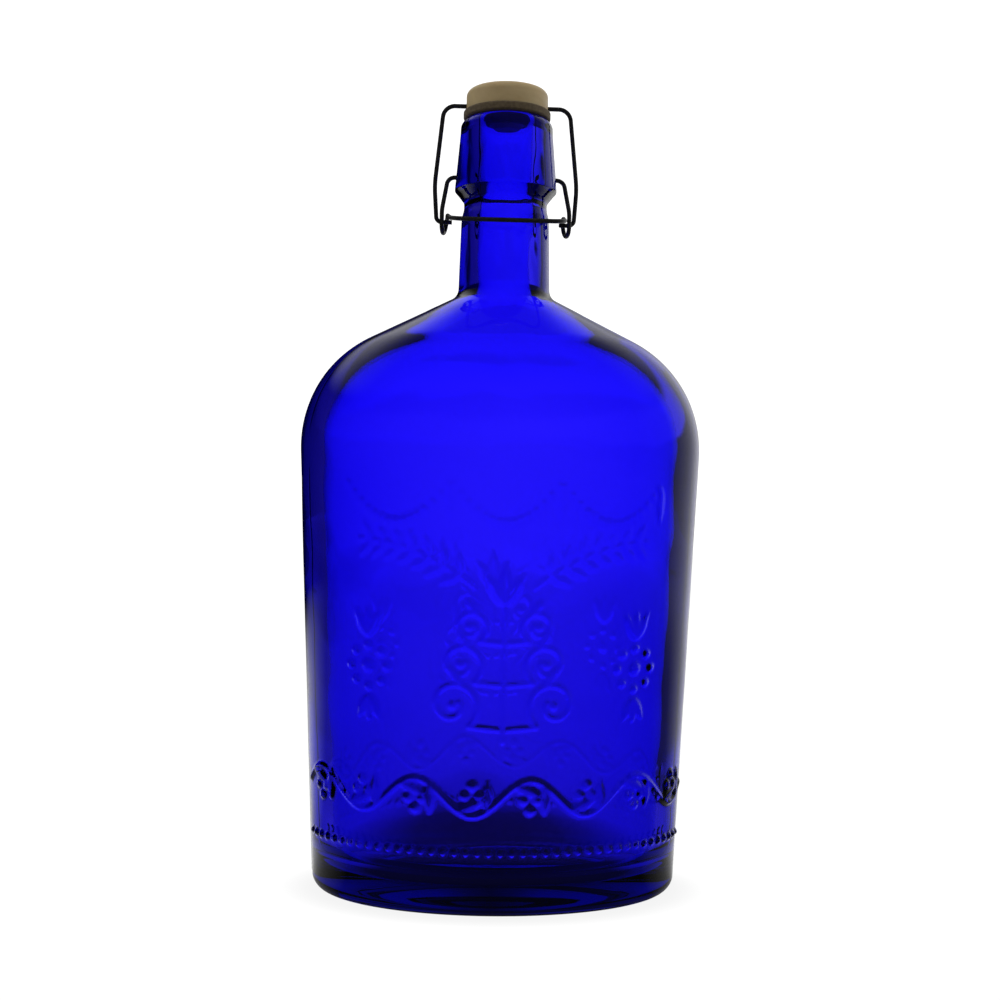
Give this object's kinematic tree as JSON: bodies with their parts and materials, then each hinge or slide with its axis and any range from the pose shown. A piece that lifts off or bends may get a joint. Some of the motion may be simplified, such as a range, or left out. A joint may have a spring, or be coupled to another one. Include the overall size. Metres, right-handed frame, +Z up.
{
  "type": "swing top bottle",
  "caption": "Flat oval cobalt glass bottle with a round neck, closed by a stopper and gasket held in a wire bail that a wire lever locks.",
  "frame": {"origin": "centre of the foot, on the surface that the bottle stands on", "axes": "+Z up along the neck, +X to the right and -Y towards the lever's bar, seen from the front"},
  "size_m": [0.1453, 0.092, 0.2905],
  "materials": {
    "cobalt_glass": "gloss",
    "black_wire": "satin",
    "stopper_plastic": "satin",
    "gasket_rubber": "matte"
  },
  "bodies": {
    "bottle": {"glass_flask": "cobalt_glass", "glass_neck": "cobalt_glass"},
    "lever": {"lever_wire": "black_wire"},
    "bail": {"bail_wire": "black_wire"},
    "stopper": {"stopper_head": "stopper_plastic", "gasket": "gasket_rubber"}
  },
  "joints": [
    {"name": "lever_lift", "type": "hinge", "parent": "bottle", "child": "lever", "pos_m": [0, 0, 0.2584], "axis": [-1, 0, 0], "range_deg": [0, 180]},
    {"name": "bail_swing", "type": "hinge", "parent": "lever", "child": "bail", "pos_m": [0, 0, 0.242], "axis": [-1, 0, 0], "range_deg": [-110.6, 0]},
    {"name": "stopper_swivel", "type": "hinge", "parent": "bail", "child": "stopper", "pos_m": [0, 0, 0.2845], "axis": [-1, 0, 0], "range_deg": [-69.5, 0]}
  ],
  "couplings": [
    {"joint": "bail_swing", "follows": "lever_lift", "ratio": -0.61412},
    {"joint": "stopper_swivel", "follows": "lever_lift", "ratio": -0.38588}
  ]
}
